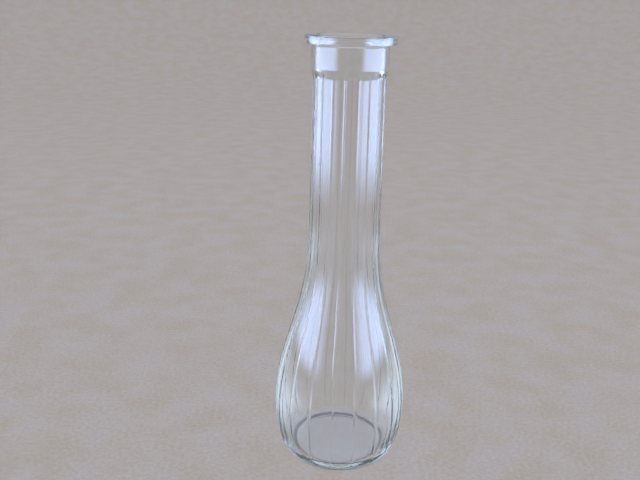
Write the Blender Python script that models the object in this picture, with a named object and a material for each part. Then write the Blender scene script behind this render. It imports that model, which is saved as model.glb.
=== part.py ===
"""Glass bud vase, 228 mm tall: one moulded piece of clear glass.

A round bulb on a rounded heel runs up through a waist into a long, nearly straight neck. Fine raised
ribs run up bulb and neck. They fade out over the heel, and the panels between them end in arches under
a plain collar. The collar carries a flanged rim with a rounded lip. The vase stands on a narrow flat
ring round a shallow push-up.

The origin is on the axis at the standing plane, +Z is up, and two opposite ribs lie on the X axis.
"""

import math

import bmesh
import bpy
from mathutils import Vector
from mathutils.geometry import interpolate_bezier

MM = 0.001

# Driving dimensions, in millimetres
HEIGHT = 228.0
BULB_RADIUS, BULB_HEIGHT = 36.1, 30.0
SHOULDER_RADIUS, SHOULDER_HEIGHT = 26.9, 77.0
SHOULDER_SLOPE = (-0.30, 0.954)
WAIST_RADIUS, WAIST_HEIGHT = 19.05, 123.0
NECK_RADIUS, NECK_TOP = 18.35, 207.4
COLLAR_RADIUS, COLLAR_FOOT = 19.25, 212.2
COLLAR_SWELL = 0.1  # how much wider the collar is halfway up
RIM_RADIUS, RIM_DEPTH = 22.88, 4.6
RIM_EDGE_ABOVE, RIM_EDGE_BELOW = 0.7, 0.8  # roundings of the rim's outer edges
RIM_UNDERSIDE = 0.5  # how far the rim's underside falls towards the collar
MOUTH_RADIUS, LIP_ROUNDING = 15.9, 2.5
STANDING_RING_INNER, STANDING_RING_OUTER = 24.0, 25.6
PUSH_UP_RISE = 0.8
PUSH_UP_RINGS = (0.4, 0.7, 0.9)  # where the push-up's rings lie, as shares of its radius
HEEL_RADIUS, HEEL_HEIGHT = 32.3, 6.8
HEEL_SLOPE = (0.45, 0.893)
WALL = 2.7  # glass between the panels and the inside wall
BASE_THICKNESS, FLOOR_RADIUS = 6.2, 27.8
INSIDE_BULB_ABOVE, INSIDE_SHOULDER_BELOW = 1.0, 1.0  # from the outside's heights to the inside's

# How far the outline's curves lead into and out of its points, which sets how full they are
HEEL_LEAVE, HEEL_ARRIVE, HEEL_EASE = 2.8, 3.8, 4.5
BULB_EASE_BELOW, BULB_EASE_ABOVE = 10.5, 16.0
SHOULDER_EASE = 16.0
WAIST_EASE_BELOW, WAIST_EASE_ABOVE, WAIST_LEAN = 17.0, 24.0, 0.3
NECK_EASE, NECK_LEAN = 20.0, 0.1
COLLAR_EASE = 0.8
FLOOR_EASE = (2.9, 4.2)

# Ribs, and the panels between them
RIB_COUNT = 18
RIB_HEIGHT = 0.3
RIB_CREST = 0.25  # half the width of a rib's top
RIB_FLANK = 0.85  # from the top of a rib's side to the panel
PANEL_FOOT, FOOT_FADE = 1.0, 13.0  # where the panels begin, and how far above that they reach full depth
PANEL_TOP, TOP_ARCH = 211.4, 4.6

PITCH = math.tau / RIB_COUNT
OUTSIDE_COLUMNS = 4 * RIB_COUNT
INSIDE_COLUMNS = 2 * RIB_COUNT

GLASS_COLOUR = (0.90, 0.96, 0.95, 1.0)
GLASS_IOR = 1.52


def arc(centre, radius, start, end, steps):
    """Points of a circle's arc in the radius-height plane, angles in degrees from outwards."""
    angles = [math.radians(start + (end - start) * i / steps) for i in range(steps + 1)]
    return [(centre[0] + radius * math.cos(a), centre[1] + radius * math.sin(a)) for a in angles]


def curve(start, leave, arrive, end, steps):
    """Points of a Bezier curve after its first one. leave and arrive are its two handles."""
    handles = [Vector((r, z, 0.0)) for r, z in (start, leave, arrive, end)]
    return [(p.x, p.y) for p in interpolate_bezier(*handles, steps + 1)[1:]]


def side(foot, leave, bulb, shoulder, waist, neck, steps):
    """The wall's line from its foot to the top of the neck, as four curves that meet smoothly."""
    along = Vector(SHOULDER_SLOPE) * SHOULDER_EASE
    under_shoulder, over_shoulder = tuple(Vector(shoulder) - along), tuple(Vector(shoulder) + along)
    under_bulb, over_bulb = (bulb[0], bulb[1] - BULB_EASE_BELOW), (bulb[0], bulb[1] + BULB_EASE_ABOVE)
    under_waist = (waist[0] + WAIST_LEAN, waist[1] - WAIST_EASE_BELOW)
    over_waist = (waist[0] - WAIST_LEAN, waist[1] + WAIST_EASE_ABOVE)
    under_neck = (neck[0] + NECK_LEAN, neck[1] - NECK_EASE)
    return [
        *curve(foot, leave, under_bulb, bulb, steps),
        *curve(bulb, over_bulb, under_shoulder, shoulder, steps),
        *curve(shoulder, over_shoulder, under_waist, waist, steps),
        *curve(waist, over_waist, under_neck, neck, steps),
    ]


def underside():
    """From near the axis out across the push-up, a shallow dome, to the standing ring."""
    dome = [(STANDING_RING_INNER * share, PUSH_UP_RISE * (1.0 - share**4)) for share in PUSH_UP_RINGS]
    return dome + [(STANDING_RING_INNER, 0.0)]


def outside():
    """From the standing ring's outer edge up to the rim's top."""
    start, heel_end, slope = (STANDING_RING_OUTER, 0.0), (HEEL_RADIUS, HEEL_HEIGHT), Vector(HEEL_SLOPE)
    leave, arrive = (STANDING_RING_OUTER + HEEL_LEAVE, 0.0), tuple(Vector(heel_end) - slope * HEEL_ARRIVE)
    heel = [start, *curve(start, leave, arrive, heel_end, 5)]
    wall = side(
        heel_end,
        tuple(Vector(heel_end) + slope * HEEL_EASE),
        (BULB_RADIUS, BULB_HEIGHT),
        (SHOULDER_RADIUS, SHOULDER_HEIGHT),
        (WAIST_RADIUS, WAIST_HEIGHT),
        (NECK_RADIUS, PANEL_TOP - TOP_ARCH),
        6,
    )
    neck, collar_foot = (NECK_RADIUS, NECK_TOP), (COLLAR_RADIUS, COLLAR_FOOT)
    out_of_neck = (NECK_RADIUS, NECK_TOP + COLLAR_EASE)
    into_collar = (COLLAR_RADIUS, COLLAR_FOOT - COLLAR_EASE)
    rim_foot = HEIGHT - RIM_DEPTH
    collar_top = rim_foot - RIM_UNDERSIDE
    collar = [
        neck,
        *curve(neck, out_of_neck, into_collar, collar_foot, 5),
        (COLLAR_RADIUS + COLLAR_SWELL, (COLLAR_FOOT + collar_top) / 2),
        (COLLAR_RADIUS, collar_top - RIM_UNDERSIDE),
        (COLLAR_RADIUS + RIM_UNDERSIDE, collar_top + RIM_UNDERSIDE / 2),
    ]
    rim = [
        *arc((RIM_RADIUS - RIM_EDGE_BELOW, rim_foot + RIM_EDGE_BELOW), RIM_EDGE_BELOW, -80, 0, 3),
        *arc((RIM_RADIUS - RIM_EDGE_ABOVE, HEIGHT - RIM_EDGE_ABOVE), RIM_EDGE_ABOVE, 0, 90, 3),
    ]
    return heel + wall + collar + rim


def inside():
    """From the lip down the inside wall to the floor."""
    lip = arc((MOUTH_RADIUS + LIP_ROUNDING, HEIGHT - LIP_ROUNDING), LIP_ROUNDING, 90, 180, 4)
    inset = RIB_HEIGHT + WALL
    floor_edge = (FLOOR_RADIUS, BASE_THICKNESS)
    wall = side(
        floor_edge,
        tuple(Vector(floor_edge) + Vector(FLOOR_EASE)),
        (BULB_RADIUS - inset, BULB_HEIGHT + INSIDE_BULB_ABOVE),
        (SHOULDER_RADIUS - inset, SHOULDER_HEIGHT - INSIDE_SHOULDER_BELOW),
        (WAIST_RADIUS - inset, WAIST_HEIGHT),
        (NECK_RADIUS - inset, NECK_TOP),
        5,
    )
    return lip + wall[::-1] + [floor_edge]


def smooth_step(value):
    """0 below 0, 1 above 1 and an S-shaped rise between them."""
    held = min(1.0, max(0.0, value))
    return held * held * (3.0 - 2.0 * held)


def panel_share(height, from_middle, half_width):
    """How far a point lies into a panel, from 0 on a rib or past an end to 1 on the panel itself."""
    into_arch = min(1.0, max(0.0, height - (PANEL_TOP - TOP_ARCH)) / TOP_ARCH)
    past_edge = half_width * math.sqrt(1.0 - into_arch**2) - from_middle
    return smooth_step(past_edge / RIB_FLANK) * smooth_step((height - PANEL_FOOT) / FOOT_FADE)


def outside_ring(radius, height):
    """A ring's points: each rib's crest, its foot, the panel's middle and the next rib's foot."""
    foot = min((RIB_CREST + RIB_FLANK) / radius, PITCH / 4)
    half_panel = PITCH / 2 - RIB_CREST / radius
    points = []
    for rib in range(RIB_COUNT):
        for turn in (0.0, foot, PITCH / 2, PITCH - foot):
            from_middle = abs(turn - PITCH / 2) * radius
            sunk = RIB_HEIGHT * panel_share(height, from_middle, half_panel * radius)
            angle = rib * PITCH + turn
            reach = radius - sunk
            points.append((reach * math.cos(angle), reach * math.sin(angle), height))
    return points


def round_ring(radius, height, columns):
    angles = [math.tau * i / columns for i in range(columns)]
    return [(radius * math.cos(a), radius * math.sin(a), height) for a in angles]


def joined(mesh, low, high):
    """Faces between two rings of points. The second may have half as many points as the first."""
    count, step = len(low), len(low) // len(high)
    for i in range(0, count, step):
        after = (i + step) % count
        near, far = high[i // step], high[(after // step) % len(high)]
        if step == 2:
            mesh.faces.new((low[i], low[i + 1], near))
            mesh.faces.new((low[i + 1], low[after], far, near))
        else:
            mesh.faces.new((low[i], low[after], far, near))


def capped(mesh, ring, height, upwards):
    """Closes a ring with a fan of triangles about a point on the axis."""
    middle = mesh.verts.new((0.0, 0.0, height * MM))
    for i, point in enumerate(ring):
        after = ring[(i + 1) % len(ring)]
        mesh.faces.new((point, after, middle) if upwards else (after, point, middle))


def glass_material():
    material = bpy.data.materials.new("clear_glass")
    material.use_nodes = True
    shader = material.node_tree.nodes["Principled BSDF"]
    shader.inputs["Base Color"].default_value = GLASS_COLOUR
    shader.inputs["Roughness"].default_value = 0.02
    shader.inputs["Metallic"].default_value = 0.0
    shader.inputs["IOR"].default_value = GLASS_IOR
    shader.inputs["Transmission Weight"].default_value = 1.0
    return material


def vase():
    """The whole vase as one closed surface, lofted through its rings."""
    rings = [round_ring(r, z, OUTSIDE_COLUMNS) for r, z in underside()]
    rings += [outside_ring(r, z) for r, z in outside()]
    rings += [round_ring(r, z, INSIDE_COLUMNS) for r, z in inside()]
    mesh = bmesh.new()
    loops = [[mesh.verts.new(Vector(p) * MM) for p in ring] for ring in rings]
    for low, high in zip(loops, loops[1:]):
        joined(mesh, low, high)
    capped(mesh, loops[0], PUSH_UP_RISE, upwards=False)
    capped(mesh, loops[-1], BASE_THICKNESS, upwards=True)
    data = bpy.data.meshes.new("glass_vase")
    mesh.to_mesh(data)
    mesh.free()
    data.shade_smooth()
    data.set_sharp_from_angle(angle=math.radians(40))
    data.materials.append(glass_material())
    made = bpy.data.objects.new("glass_vase", data)
    bpy.context.scene.collection.objects.link(made)
    return made


def main():
    for old in list(bpy.data.objects):
        bpy.data.objects.remove(old)
    vase()


main()
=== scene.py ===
"""The looks of the ribbed glass bud vase: one continuous fine glass surface, its floor, lights and camera.

The vase is lofted ring by ring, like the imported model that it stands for, but with rounded ribs, panels
that end in flat arches under the collar, a smooth rim and the slight waviness of moulded glass. Its
sizes are in design millimetres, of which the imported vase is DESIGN_HEIGHT tall, so they follow the frame
if the vase is rescaled. Floor and lights are in metres.
"""

import math

import bpy
import numpy as np
from mathutils import Matrix, Vector, noise
from mathutils.geometry import interpolate_bezier


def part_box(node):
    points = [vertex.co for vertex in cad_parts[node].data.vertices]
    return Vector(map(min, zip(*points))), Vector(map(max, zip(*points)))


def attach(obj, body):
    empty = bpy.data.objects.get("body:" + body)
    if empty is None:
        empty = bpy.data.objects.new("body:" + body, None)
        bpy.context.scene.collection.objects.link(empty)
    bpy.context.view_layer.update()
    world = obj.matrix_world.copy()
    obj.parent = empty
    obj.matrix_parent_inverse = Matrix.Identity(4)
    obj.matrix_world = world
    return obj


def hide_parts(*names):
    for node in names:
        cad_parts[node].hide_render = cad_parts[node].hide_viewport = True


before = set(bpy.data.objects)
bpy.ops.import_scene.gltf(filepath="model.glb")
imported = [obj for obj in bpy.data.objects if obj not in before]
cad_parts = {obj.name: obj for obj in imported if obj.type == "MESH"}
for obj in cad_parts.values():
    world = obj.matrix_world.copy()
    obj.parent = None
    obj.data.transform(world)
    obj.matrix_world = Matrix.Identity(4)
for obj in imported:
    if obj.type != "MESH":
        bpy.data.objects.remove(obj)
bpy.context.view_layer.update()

DESIGN_HEIGHT = 228.0
base_corner, top_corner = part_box("glass_vase")
MM = (top_corner.z - base_corner.z) / DESIGN_HEIGHT

# The outline. A pair is a radius and a height.
BULB = (36.08, 30.0)
SHOULDER, SHOULDER_SLOPE = (26.9, 77.0), (-0.30, 0.954)
WAIST = (19.05, 123.0)
NECK = (18.35, 207.4)
COLLAR_RADIUS, COLLAR_FOOT = 19.25, 212.2
COLLAR_SWELL_LOW, COLLAR_SWELL_HIGH, COLLAR_SWELL_REACH = 0.15, 0.1, 3.0
RIM_RADIUS, RIM_DEPTH, RIM_UNDERSIDE = 22.88, 4.6, 0.5
RIM_EDGE_ABOVE, RIM_EDGE_BELOW = 0.7, 0.8  # roundings of the rim's outer edges
FLANGE_LIFT = 0.2  # of the rim's underside where it leaves the collar
MOUTH_RADIUS, LIP_ROUNDING = 15.9, 2.5
STANDING_RADIUS = 25.6
HEEL, HEEL_SLOPE = (32.3, 6.8), (0.45, 0.893)
WALL = 3.0  # from the ribs' crests to the inside
INSIDE_BULB_ABOVE, INSIDE_SHOULDER_BELOW = 1.0, 1.0  # from the outside's heights to the inside's
FLOOR_RADIUS, FLOOR_HEIGHT = 27.8, 6.2
INSIDE_FLOOR_RADII = (27.5, 26.9, 24.5, 20.0, 14.0, 7.0, 0.5)
RING_INNER, RING_ROUNDING, RING_LIFT = 23.8, 0.5, 0.04
PUSH_UP_RISE, PUSH_UP_RINGS = 0.8, (0.02, 0.2, 0.4, 0.6, 0.75, 0.87, 0.95)

# Steps along the outline's stretches
RING_STEPS, HEEL_STEPS, WALL_STEPS, NECK_STEPS, COLLAR_STEPS = 5, 10, 20, 8, 10
SWELL_STEPS, FLANGE_STEPS, EDGE_STEPS_BELOW, EDGE_STEPS_ABOVE = 8, 8, 6, 10
LIP_STEPS, INSIDE_STEPS = 8, 12

# How far the outline's curves lead into and out of its points, which sets how full they are
HEEL_LEAVE, HEEL_ARRIVE, HEEL_EASE = 2.8, 3.8, 4.5
BULB_EASE_BELOW, BULB_EASE_ABOVE = 10.5, 16.0
SHOULDER_EASE = 16.0
WAIST_EASE_BELOW, WAIST_EASE_ABOVE, WAIST_LEAN = 17.0, 24.0, 0.3
NECK_EASE, NECK_LEAN = 20.0, 0.1
COLLAR_EASE = 0.8
FLOOR_EASE = (2.9, 4.2)

# The inside wall's waviness: its size, how far it moves the glass, and how far below the collar it fades in
WAVE_SIZE, WAVE_HEIGHT, WAVE_FADE = 17.0, 0.16, 8.0

# Ribs, and the panels between them. The pitch and the ribs' half widths are in degrees about the axis.
RIB_COUNT = 18
PITCH = 360.0 / RIB_COUNT
RIB_WIDTH_BULB, RIB_WIDTH_NECK = 1.9, 2.9
RIB_HEIGHT_BULB, RIB_HEIGHT_NECK = 0.30, 0.32
PANEL_FLATNESS = 0.1  # how flat a panel is, from 0 for round to 1 for flat
PANEL_FOOT, FOOT_FADE = 1.0, 13.0  # where the panels begin, and how far above that they reach full depth
PANEL_TOP, TOP_ARCH, UNDER_ARCHES = 211.4, 4.6, 1.0  # the neck runs straight from just under the arches
RIB_COLUMNS, PANEL_COLUMNS = 15, 9

# The glass. Under its haze, at clearest and cloudiest, these shares of the light still pass. The inside
# floor, under a cloudy bluish painted reflection, and the ribs' crests, under pale painted highlights, let
# less pass still. The highlights' half width is in degrees.
GLASS_IOR, ABSORPTION_COLOUR, ABSORPTION_DENSITY = 1.52, (0.50, 0.76, 0.80, 1.0), 10.0
FILM_CLEAREST, FILM_CLOUDIEST = 0.985, 0.965
FLOOR_PAINTED_REFLECTION, FLOOR_PAINTED_REFLECTION_COLOUR = 0.24, (0.80, 0.87, 1.0, 1.0)
CREST_PAINTED_HIGHLIGHT, CREST_HIGHLIGHT_WIDTH = 0.24, 1.3
STREAKS_PER_METRE, STREAK_STRETCH = 260.0, 0.12
BUMP_STRENGTH, BUMP_HEIGHT = 0.3, 0.00004

# The floor is paper on a shallow bowl: flat round the vase, then curving up into a wall all round it
FLOOR_FLAT, FLOOR_BEND, FLOOR_WALL = 1.5, 1.6, 1.2
FLOOR_MIDDLE, BEND_STEPS, ROUND_COLUMNS = 0.01, 24, 96  # the middle is one small round face
PAPER_WARM, PAPER_COOL = (0.692, 0.626, 0.552, 1.0), (0.712, 0.666, 0.636, 1.0)
PAPER_MOTTLE = 0.07
PAPER_PATCHES, PAPER_GRAIN = (34.0, 6.0), (420.0, 2.0)  # scale and detail of the two noises

# The view, in vase heights and degrees, about the vase's axis. TURN brings a rib near the middle.
TURN = -2.5
CAMERA_ASIDE, CAMERA_BACK, CAMERA_UP = -0.0563, -1.722, 1.072
CAMERA_PITCH, CAMERA_ROLL = 17.28, 1.38
LENS = 43.59

# The windows are stretches of two round walls of light: where each starts and ends in degrees from the
# camera's side towards its right, how softly, the height that it starts from, and how brightly it glows
WINDOW_COLOUR = (0.42, 0.59, 1.0, 1.0)
WINDOW_DISTANCE, HIGH_WINDOW_DISTANCE = 0.58, 0.60
WINDOW_TOP, WINDOW_FADE = 0.34, 0.08
WINDOWS = ((-118.0, -42.0, 24.0, 0.04, 12.0), (38.0, 116.0, 24.0, 0.04, 12.0))
HIGH_WINDOWS = ((-140.0, -104.0, 20.0, 0.26, 3.6), (104.0, 136.0, 20.0, 0.26, 3.0))

# The pale floor to both sides of the vase: its degrees from the camera's side, and its reach
FLOOR_GLOW, FLOOR_GLOW_COLOUR = 0.55, (0.54, 0.76, 1.0, 1.0)
FLOOR_GLOW_START, FLOOR_GLOW_END, FLOOR_GLOW_SOFTNESS = 45.0, 146.0, 20.0
FLOOR_GLOW_NEAR, NEAR_FADE = 0.037, 0.02
FLOOR_GLOW_FAR, FAR_FADE = 0.52, 0.24
FLOOR_GLOW_RINGS = (0.03, 0.45, 43)  # the first and last ring's radius, and their number
GLOW_LIFT = 0.002  # how far the glowing surfaces stay above the floor
WINDOW_RINGS, GLOW_SPACING = 16, 2.0  # the rings of a wall, and the degrees between a ring's points
SKY_COLOUR, SKY_STRENGTH = (0.85, 0.89, 1.0, 1.0), 0.88
LIGHT_BOUNCES = 64

# The hidden ring that casts the contact shadow reaches past the foot, between two heights
CONTACT_OVERHANG, CONTACT_HEIGHTS = 1.5, (0.25, 1.2)


def arc(centre, radius, start, end, steps):
    """Points of a circle's arc as radius and height, angles in degrees from outwards."""
    angles = np.radians(np.linspace(start, end, steps + 1))
    return [(centre[0] + radius * math.cos(a), centre[1] + radius * math.sin(a)) for a in angles]


def curve(start, leave, arrive, end, steps):
    """Points of a Bezier curve after its first one. leave and arrive are its two handles."""
    handles = [Vector((r, z, 0.0)) for r, z in (start, leave, arrive, end)]
    return [(p.x, p.y) for p in interpolate_bezier(*handles, steps + 1)[1:]]


def side(foot, leave, bulb, shoulder, waist, neck, steps):
    """The wall's line from its foot to the top of the neck, as four curves that meet smoothly."""
    along = Vector(SHOULDER_SLOPE) * SHOULDER_EASE
    under_shoulder, over_shoulder = tuple(Vector(shoulder) - along), tuple(Vector(shoulder) + along)
    under_bulb, over_bulb = (bulb[0], bulb[1] - BULB_EASE_BELOW), (bulb[0], bulb[1] + BULB_EASE_ABOVE)
    under_waist = (waist[0] + WAIST_LEAN, waist[1] - WAIST_EASE_BELOW)
    over_waist = (waist[0] - WAIST_LEAN, waist[1] + WAIST_EASE_ABOVE)
    under_neck = (neck[0] + NECK_LEAN, neck[1] - NECK_EASE)
    return [
        *curve(foot, leave, under_bulb, bulb, steps),
        *curve(bulb, over_bulb, under_shoulder, shoulder, steps),
        *curve(shoulder, over_shoulder, under_waist, waist, steps),
        *curve(waist, over_waist, under_neck, neck, steps),
    ]


def straight(start, end, steps):
    """Points of a straight line after its first one."""
    return [tuple(Vector(start).lerp(Vector(end), i / steps)) for i in range(1, steps + 1)]


def underside():
    """From near the axis out across the push-up, a shallow dome, and round onto the standing ring."""
    dome = [(RING_INNER * share, PUSH_UP_RISE * (1.0 - share**4)) for share in PUSH_UP_RINGS]
    off_dome, on_ring = (RING_INNER - RING_ROUNDING, RING_LIFT), (RING_INNER + RING_ROUNDING, 0.0)
    return dome + curve(dome[-1], off_dome, (RING_INNER, 0.0), on_ring, RING_STEPS)


def outside():
    """From the standing ring up to the rim's top."""
    start, slope = (STANDING_RADIUS, 0.0), Vector(HEEL_SLOPE)
    into_heel = tuple(Vector(HEEL) - slope * HEEL_ARRIVE)
    heel = [start, *curve(start, (STANDING_RADIUS + HEEL_LEAVE, 0.0), into_heel, HEEL, HEEL_STEPS)]
    out_of_heel = tuple(Vector(HEEL) + slope * HEEL_EASE)
    under_arches = (NECK[0], PANEL_TOP - TOP_ARCH - UNDER_ARCHES)
    wall = side(HEEL, out_of_heel, BULB, SHOULDER, WAIST, under_arches, WALL_STEPS)
    rim_foot = DESIGN_HEIGHT - RIM_DEPTH
    collar_top = rim_foot - RIM_UNDERSIDE
    collar_foot = (COLLAR_RADIUS, COLLAR_FOOT)
    over_neck, under_collar = (NECK[0], NECK[1] + COLLAR_EASE), (COLLAR_RADIUS, COLLAR_FOOT - COLLAR_EASE)
    collar = [
        *straight(wall[-1], NECK, NECK_STEPS),
        *curve(NECK, over_neck, under_collar, collar_foot, COLLAR_STEPS),
        *curve(
            collar_foot,
            (COLLAR_RADIUS + COLLAR_SWELL_LOW, COLLAR_FOOT + COLLAR_SWELL_REACH),
            (COLLAR_RADIUS + COLLAR_SWELL_HIGH, collar_top - COLLAR_SWELL_REACH),
            (COLLAR_RADIUS, collar_top - RIM_UNDERSIDE),
            SWELL_STEPS,
        ),
    ]
    flange = (RIM_RADIUS - RIM_EDGE_BELOW, rim_foot)
    over_flange, under_top = rim_foot + RIM_EDGE_BELOW, DESIGN_HEIGHT - RIM_EDGE_ABOVE
    under_flange = (COLLAR_RADIUS + RIM_UNDERSIDE, collar_top + FLANGE_LIFT)
    rim = [
        *curve(collar[-1], (COLLAR_RADIUS, collar_top), under_flange, flange, FLANGE_STEPS),
        *arc((flange[0], over_flange), RIM_EDGE_BELOW, -80, 0, EDGE_STEPS_BELOW),
        *straight((RIM_RADIUS, over_flange), (RIM_RADIUS, under_top), 2),
        *arc((RIM_RADIUS - RIM_EDGE_ABOVE, under_top), RIM_EDGE_ABOVE, 0, 90, EDGE_STEPS_ABOVE)[1:],
    ]
    return heel + wall + collar + rim


def inside():
    """From the rim's top over the lip and down the inside wall to the floor."""
    lip = arc((MOUTH_RADIUS + LIP_ROUNDING, DESIGN_HEIGHT - LIP_ROUNDING), LIP_ROUNDING, 90, 180, LIP_STEPS)
    floor_edge = (FLOOR_RADIUS, FLOOR_HEIGHT)
    wall = side(
        floor_edge,
        tuple(Vector(floor_edge) + Vector(FLOOR_EASE)),
        (BULB[0] - WALL, BULB[1] + INSIDE_BULB_ABOVE),
        (SHOULDER[0] - WALL, SHOULDER[1] - INSIDE_SHOULDER_BELOW),
        (WAIST[0] - WALL, WAIST[1]),
        (NECK[0] - WALL, NECK[1]),
        INSIDE_STEPS,
    )
    down = straight(lip[-1], wall[-1], 3)[:-1]
    floor = [(r, FLOOR_HEIGHT) for r in INSIDE_FLOOR_RADII]
    return lip + down + wall[::-1] + [floor_edge] + floor


def smooth_step(value):
    """0 below 0, 1 above 1 and an S-shaped rise between them."""
    held = np.clip(value, 0.0, 1.0)
    return held * held * (3.0 - 2.0 * held)


def column_angles():
    """The columns' angles in degrees: close together over each rib, further apart over each panel."""
    rib = np.linspace(-RIB_WIDTH_NECK, RIB_WIDTH_NECK, RIB_COLUMNS)
    panel = np.linspace(RIB_WIDTH_NECK, PITCH - RIB_WIDTH_NECK, PANEL_COLUMNS + 2)[1:-1]
    return np.concatenate([i * PITCH + np.concatenate([rib, panel]) for i in range(RIB_COUNT)])


def degrees_from_rib(angles):
    return np.abs((angles + PITCH / 2) % PITCH - PITCH / 2)


def sunk(angles, radius, height):
    """How far the outside lies under the ribs' crests, in millimetres, at each angle of one ring."""
    from_middle = np.radians(PITCH / 2 - degrees_from_rib(angles)) * radius
    up = min(1.0, max(0.0, (height - SHOULDER[1]) / (WAIST[1] - SHOULDER[1])))
    rib_width = RIB_WIDTH_BULB + (RIB_WIDTH_NECK - RIB_WIDTH_BULB) * up
    half_panel = math.radians(PITCH / 2 - rib_width) * radius
    into_arch = min(1.0, max(0.0, height - (PANEL_TOP - TOP_ARCH)) / TOP_ARCH)
    flank = math.radians(rib_width) * radius
    reach = (half_panel + flank) * math.sqrt(1.0 - into_arch**2)
    share = smooth_step((reach - from_middle) / flank)
    depth = RIB_HEIGHT_BULB + (RIB_HEIGHT_NECK - RIB_HEIGHT_BULB) * up
    across = np.clip(from_middle / half_panel, 0.0, 1.0)
    sagitta = radius * (1.0 - math.cos(math.radians(PITCH / 2 - rib_width)))
    flattened = PANEL_FLATNESS * sagitta * (1.0 - across**2)
    open_share = (1.0 - into_arch**2) * smooth_step((height - PANEL_FOOT) / FOOT_FADE)
    return (share * depth + flattened) * open_share


def ring(angles, radius, height, ribbed):
    reach = radius - (sunk(angles, radius, height) if ribbed else 0.0)
    turn = np.radians(angles)
    return np.stack([reach * np.cos(turn), reach * np.sin(turn), np.full(len(angles), height)], axis=-1)


def add_waviness(rings):
    """Shifts the inside wall's points in or out by a smooth uneven amount, as blown glass has."""
    for points in rings:
        for point in points:
            out = Vector((point[0], point[1], 0.0)).normalized()
            below_collar = smooth_step((COLLAR_FOOT - point[2]) / WAVE_FADE)
            point += np.array(out) * below_collar * WAVE_HEIGHT * noise.noise(Vector(point) / WAVE_SIZE)


def closed_faces(count, columns):
    """Faces between count rings of points, and fans that close the first and last about two last points."""
    grid = np.arange(count * columns).reshape(count, columns)
    after = np.roll(grid, -1, axis=1)
    quads = np.stack([grid[:-1], after[:-1], after[1:], grid[1:]], axis=-1).reshape(-1, 4).tolist()
    below, floor = count * columns, count * columns + 1
    fans = [(int(after[0, i]), int(grid[0, i]), below) for i in range(columns)]
    fans += [(int(grid[-1, i]), int(after[-1, i]), floor) for i in range(columns)]
    return quads + fans


def crest_highlight(angles, height):
    """How strongly the painted highlight shows at each angle of one ring, from 0 to 1 along a rib's crest."""
    across_rib = smooth_step(1.0 - degrees_from_rib(angles) / CREST_HIGHLIGHT_WIDTH)
    along_rib = smooth_step((height - PANEL_FOOT) / FOOT_FADE) * smooth_step((PANEL_TOP - height) / TOP_ARCH)
    return across_rib * along_rib


def vase_mesh():
    angles = column_angles()
    outer = [(r, z, False) for r, z in underside()] + [(r, z, True) for r, z in outside()]
    inner = [(r, z, False) for r, z in inside()]
    points = np.array([ring(angles, r, z, ribbed) for r, z, ribbed in outer + inner])
    add_waviness(points[len(outer) + LIP_STEPS + 1 :])
    count, columns = points.shape[:2]
    centres = [(0.0, 0.0, PUSH_UP_RISE), (0.0, 0.0, FLOOR_HEIGHT)]
    vertices = np.concatenate([points.reshape(-1, 3), centres]) * MM
    mesh = bpy.data.meshes.new("vase_glass")
    mesh.from_pydata(vertices.tolist(), [], closed_faces(count, columns))
    # Masks for the painted reflection on the inside floor and the painted highlights along the ribs' crests
    on_floor, on_crest = np.zeros(len(vertices)), np.zeros(len(vertices))
    on_floor[(count - len(INSIDE_FLOOR_RADII)) * columns :] = 1.0
    on_floor[count * columns] = 0.0
    # The crests' mask carries the painted highlight along each rib
    for i, (_, height, _) in enumerate(outer):
        on_crest[i * columns : (i + 1) * columns] = crest_highlight(angles, height)
    for name, values in (("inside_floor", on_floor), ("rib_crest", on_crest)):
        mesh.attributes.new(name, "FLOAT", "POINT").data.foreach_set("value", values)
    mesh.update()
    mesh.shade_smooth()
    return mesh


def new_material(name):
    material = bpy.data.materials.new(name)
    material.use_nodes = True
    nodes, links = material.node_tree.nodes, material.node_tree.links
    return material, nodes, links


def set_inputs(node, **values):
    """Sets inputs by name. A name's underscores stand for spaces."""
    for name, value in values.items():
        node.inputs[name.replace("_", " ")].default_value = value


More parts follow.
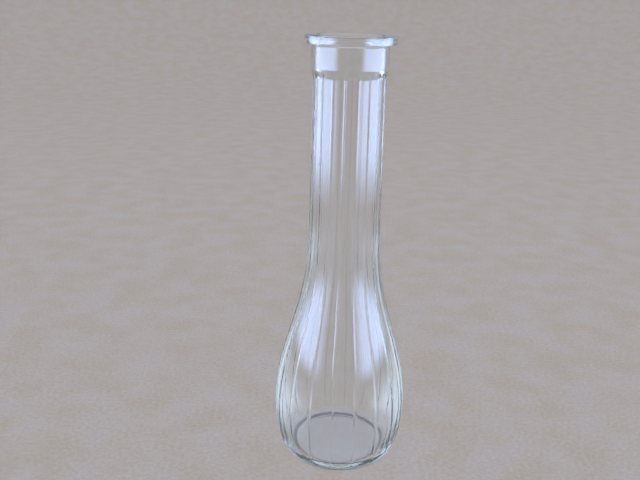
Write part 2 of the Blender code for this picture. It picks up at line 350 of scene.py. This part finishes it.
def glass_material():
    """Clear soda-lime glass, aqua where thick, under a trace of haze, with a cloudy bluish painted reflection
    on the inside floor and pale painted highlights along the ribs' crests.
    """
    material, nodes, links = new_material("clear_glass_look")
    shader = nodes["Principled BSDF"]
    set_inputs(shader, IOR=GLASS_IOR, Roughness=0.0)

    place, stretch = nodes.new("ShaderNodeTexCoord"), nodes.new("ShaderNodeMapping")
    set_inputs(stretch, Scale=(1.0, 1.0, STREAK_STRETCH))
    links.new(place.outputs["Object"], stretch.inputs["Vector"])
    streaks = nodes.new("ShaderNodeTexNoise")
    set_inputs(streaks, Scale=STREAKS_PER_METRE, Detail=3.0)
    links.new(stretch.outputs["Vector"], streaks.inputs["Vector"])

    clearness = nodes.new("ShaderNodeMapRange")
    set_inputs(clearness, From_Min=0.3, From_Max=0.7, To_Min=FILM_CLEAREST, To_Max=FILM_CLOUDIEST)
    links.new(streaks.outputs["Fac"], clearness.inputs["Value"])
    on_floor, on_crest = nodes.new("ShaderNodeAttribute"), nodes.new("ShaderNodeAttribute")
    on_floor.attribute_name, on_crest.attribute_name = "inside_floor", "rib_crest"
    passing = clearness.outputs["Result"]
    # Less light passes on the inside floor, for its painted reflection, and on the crests, for their painted
    # highlights
    for where, painted_share in ((on_floor, FLOOR_PAINTED_REFLECTION), (on_crest, CREST_PAINTED_HIGHLIGHT)):
        less = nodes.new("ShaderNodeMath")
        less.operation = "MULTIPLY_ADD"
        less.inputs[1].default_value = -painted_share
        links.new(where.outputs["Fac"], less.inputs[0])
        links.new(passing, less.inputs[2])
        passing = less.outputs["Value"]
    links.new(passing, shader.inputs["Transmission Weight"])

    # The inside floor's painted reflection is bluish
    tint = nodes.new("ShaderNodeMix")
    tint.data_type = "RGBA"
    set_inputs(tint, A=(1.0, 1.0, 1.0, 1.0), B=FLOOR_PAINTED_REFLECTION_COLOUR)
    links.new(on_floor.outputs["Fac"], tint.inputs["Factor"])
    links.new(tint.outputs["Result"], shader.inputs["Base Color"])

    waves = nodes.new("ShaderNodeBump")
    set_inputs(waves, Strength=BUMP_STRENGTH, Distance=BUMP_HEIGHT)
    links.new(streaks.outputs["Fac"], waves.inputs["Height"])
    links.new(waves.outputs["Normal"], shader.inputs["Normal"])

    volume = nodes.new("ShaderNodeVolumeAbsorption")
    set_inputs(volume, Color=ABSORPTION_COLOUR, Density=ABSORPTION_DENSITY)
    links.new(volume.outputs["Volume"], nodes["Material Output"].inputs["Volume"])
    return material


def floor_material():
    """Warm pale paper with a faint mottle."""
    material, nodes, links = new_material("floor_paper")
    shader = nodes["Principled BSDF"]
    set_inputs(shader, Roughness=0.9, Specular_IOR_Level=0.0)
    place = nodes.new("ShaderNodeTexCoord")
    coarse, fine = nodes.new("ShaderNodeTexNoise"), nodes.new("ShaderNodeTexNoise")
    for texture, (scale, detail) in ((coarse, PAPER_PATCHES), (fine, PAPER_GRAIN)):
        set_inputs(texture, Scale=scale, Detail=detail)
        links.new(place.outputs["Object"], texture.inputs["Vector"])
    patches, hue = nodes.new("ShaderNodeMapRange"), nodes.new("ShaderNodeMix")
    set_inputs(patches, From_Min=0.4, From_Max=0.6)
    links.new(coarse.outputs["Fac"], patches.inputs["Value"])
    hue.data_type = "RGBA"
    set_inputs(hue, A=PAPER_WARM, B=PAPER_COOL)
    links.new(patches.outputs["Result"], hue.inputs["Factor"])
    grain, shade = nodes.new("ShaderNodeMapRange"), nodes.new("ShaderNodeVectorMath")
    set_inputs(grain, From_Min=0.3, From_Max=0.7, To_Min=1.0 - PAPER_MOTTLE, To_Max=1.0 + PAPER_MOTTLE)
    links.new(fine.outputs["Fac"], grain.inputs["Value"])
    shade.operation = "SCALE"
    links.new(hue.outputs["Result"], shade.inputs["Vector"])
    links.new(grain.outputs["Result"], shade.inputs["Scale"])
    links.new(shade.outputs["Vector"], shader.inputs["Base Color"])
    return material


def added(name, data):
    """A new object in the scene."""
    made = bpy.data.objects.new(name, data)
    bpy.context.scene.collection.objects.link(made)
    return made


def hide_from(thing, *rays):
    for ray in rays:
        setattr(thing, "visible_" + ray, False)


def turned_mesh(name, outline, turns, closed=False):
    """An outline's points, as radius and height, at each turn about the axis. closed fills the last ring."""
    vertices = [(r * math.cos(t), r * math.sin(t), z) for r, z in outline for t in turns]
    rows, columns = len(outline), len(turns)
    faces = []
    for i in range(rows - 1):
        for j in range(columns):
            k = (j + 1) % columns
            faces.append((i * columns + j, i * columns + k, (i + 1) * columns + k, (i + 1) * columns + j))
    if closed:
        faces.append(tuple(range((rows - 1) * columns, rows * columns)))
    mesh = bpy.data.meshes.new(name)
    mesh.from_pydata(vertices, [], faces)
    return mesh


def all_round(columns):
    return np.linspace(0.0, 2.0 * math.pi, columns, endpoint=False)


def add_floor():
    """From the top of the bowl's wall down and in to the middle."""
    outline = [(FLOOR_FLAT + FLOOR_BEND, FLOOR_BEND + FLOOR_WALL)]
    outline += arc((FLOOR_FLAT, FLOOR_BEND), FLOOR_BEND, 0, -90, BEND_STEPS)
    outline += [(FLOOR_FLAT * i / 6, 0.0) for i in range(5, 0, -1)]
    outline += [(FLOOR_MIDDLE, 0.0)]
    mesh = turned_mesh("floor", outline, all_round(ROUND_COLUMNS), closed=True)
    mesh.shade_smooth()
    mesh.materials.append(floor_material())
    floor = added("floor", mesh)


def add_camera():
    data = bpy.data.cameras.new("camera")
    data.lens = LENS
    data.sensor_width = 36.0
    data.clip_start = 0.01
    camera = added("camera", data)
    turn = Matrix.Rotation(math.radians(TURN), 4, "Z")
    place = Matrix.Translation(Vector((CAMERA_ASIDE, CAMERA_BACK, CAMERA_UP)) * top_corner.z)
    pitch = Matrix.Rotation(math.radians(90.0 - CAMERA_PITCH), 4, "X")
    roll = Matrix.Rotation(math.radians(CAMERA_ROLL), 4, "Z")
    camera.matrix_world = turn @ place @ pitch @ roll
    bpy.context.scene.camera = camera


def window(value, start, end, softness):
    """1 between start and end, falling smoothly to 0 over softness about each of them."""
    return smooth_step((value - start) / softness + 0.5) * smooth_step((end - value) / softness + 0.5)


def window_glow(windows):
    """A function of the azimuth and the wall's point, for how brightly these windows glow there."""
    return lambda azimuth, point: sum(
        glow * window(azimuth, start, end, softness) * window(point[1], foot, WINDOW_TOP, WINDOW_FADE)
        for start, end, softness, foot, glow in windows
    )


def floor_glow(azimuth, point):
    """How brightly the floor beside the vase glows at this azimuth and point."""
    sides = window(abs(azimuth), FLOOR_GLOW_START, FLOOR_GLOW_END, FLOOR_GLOW_SOFTNESS)
    near = smooth_step((point[0] - FLOOR_GLOW_NEAR) / NEAR_FADE)
    far = smooth_step((FLOOR_GLOW_FAR - point[0]) / FAR_FADE)
    return FLOOR_GLOW * sides * near * far


def glow_material(name, colour):
    """Glows as the attribute says and is otherwise clear."""
    material, nodes, links = new_material(name)
    nodes.remove(nodes["Principled BSDF"])
    clear, both = nodes.new("ShaderNodeBsdfTransparent"), nodes.new("ShaderNodeAddShader")
    emission, strength = nodes.new("ShaderNodeEmission"), nodes.new("ShaderNodeAttribute")
    strength.attribute_name = "glow"
    set_inputs(emission, Color=colour)
    links.new(strength.outputs["Fac"], emission.inputs["Strength"])
    links.new(emission.outputs["Emission"], both.inputs[0])
    links.new(clear.outputs["BSDF"], both.inputs[1])
    links.new(both.outputs["Shader"], nodes["Material Output"].inputs["Surface"])
    return material


def add_glow(name, colour, outline, glow_at, *hidden_from):
    """A glowing surface turned about the axis, which neither the camera nor the floor sees."""
    azimuths = np.arange(-180.0, 180.0, GLOW_SPACING)
    mesh = turned_mesh(name, outline, np.radians(azimuths + TURN - 90.0))
    strengths = [float(glow_at(azimuth, point)) for point in outline for azimuth in azimuths]
    mesh.attributes.new("glow", "FLOAT", "POINT").data.foreach_set("value", strengths)
    mesh.materials.append(glow_material(name, colour))
    made = added(name, mesh)
    hide_from(made, "camera", "diffuse", "shadow", "volume_scatter", *hidden_from)


def add_glows():
    """Windows that only show in reflections, higher ones that also show through the glass, and pale floor."""
    heights = np.linspace(GLOW_LIFT, WINDOW_TOP + WINDOW_FADE / 2, WINDOW_RINGS)
    wall, high_wall = ([(r, h) for h in heights] for r in (WINDOW_DISTANCE, HIGH_WINDOW_DISTANCE))
    add_glow("windows", WINDOW_COLOUR, wall, window_glow(WINDOWS), "transmission")
    add_glow("high_windows", WINDOW_COLOUR, high_wall, window_glow(HIGH_WINDOWS))
    floor = [(r, GLOW_LIFT) for r in np.linspace(*FLOOR_GLOW_RINGS)]
    add_glow("light_floor", FLOOR_GLOW_COLOUR, floor, floor_glow)


def add_contact_shadow():
    """A thin ring at the foot that only casts a shadow, because the glass itself casts none."""
    inner, outer = (RING_INNER + RING_ROUNDING) * MM, (STANDING_RADIUS + CONTACT_OVERHANG) * MM
    low, high = CONTACT_HEIGHTS[0] * MM, CONTACT_HEIGHTS[1] * MM
    outline = [(inner, low), (outer, low), (outer, high)]
    contact = added("contact", turned_mesh("contact", outline, all_round(ROUND_COLUMNS)))
    hide_from(contact, "camera", "glossy", "transmission", "volume_scatter")


def add_world():
    world = bpy.data.worlds.new("studio")
    bpy.context.scene.world = world
    world.use_nodes = True
    set_inputs(world.node_tree.nodes["Background"], Color=SKY_COLOUR, Strength=SKY_STRENGTH)


vase = added("vase_glass", vase_mesh())
vase.data.materials.append(glass_material())
hide_from(vase, "shadow", "diffuse")
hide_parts("glass_vase")
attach(vase, "root")

add_floor()
add_camera()
add_glows()
add_contact_shadow()
add_world()

scene = bpy.context.scene
scene.view_settings.view_transform = "Standard"
scene.cycles.max_bounces = LIGHT_BOUNCES
scene.cycles.transmission_bounces = LIGHT_BOUNCES
scene.cycles.glossy_bounces = LIGHT_BOUNCES
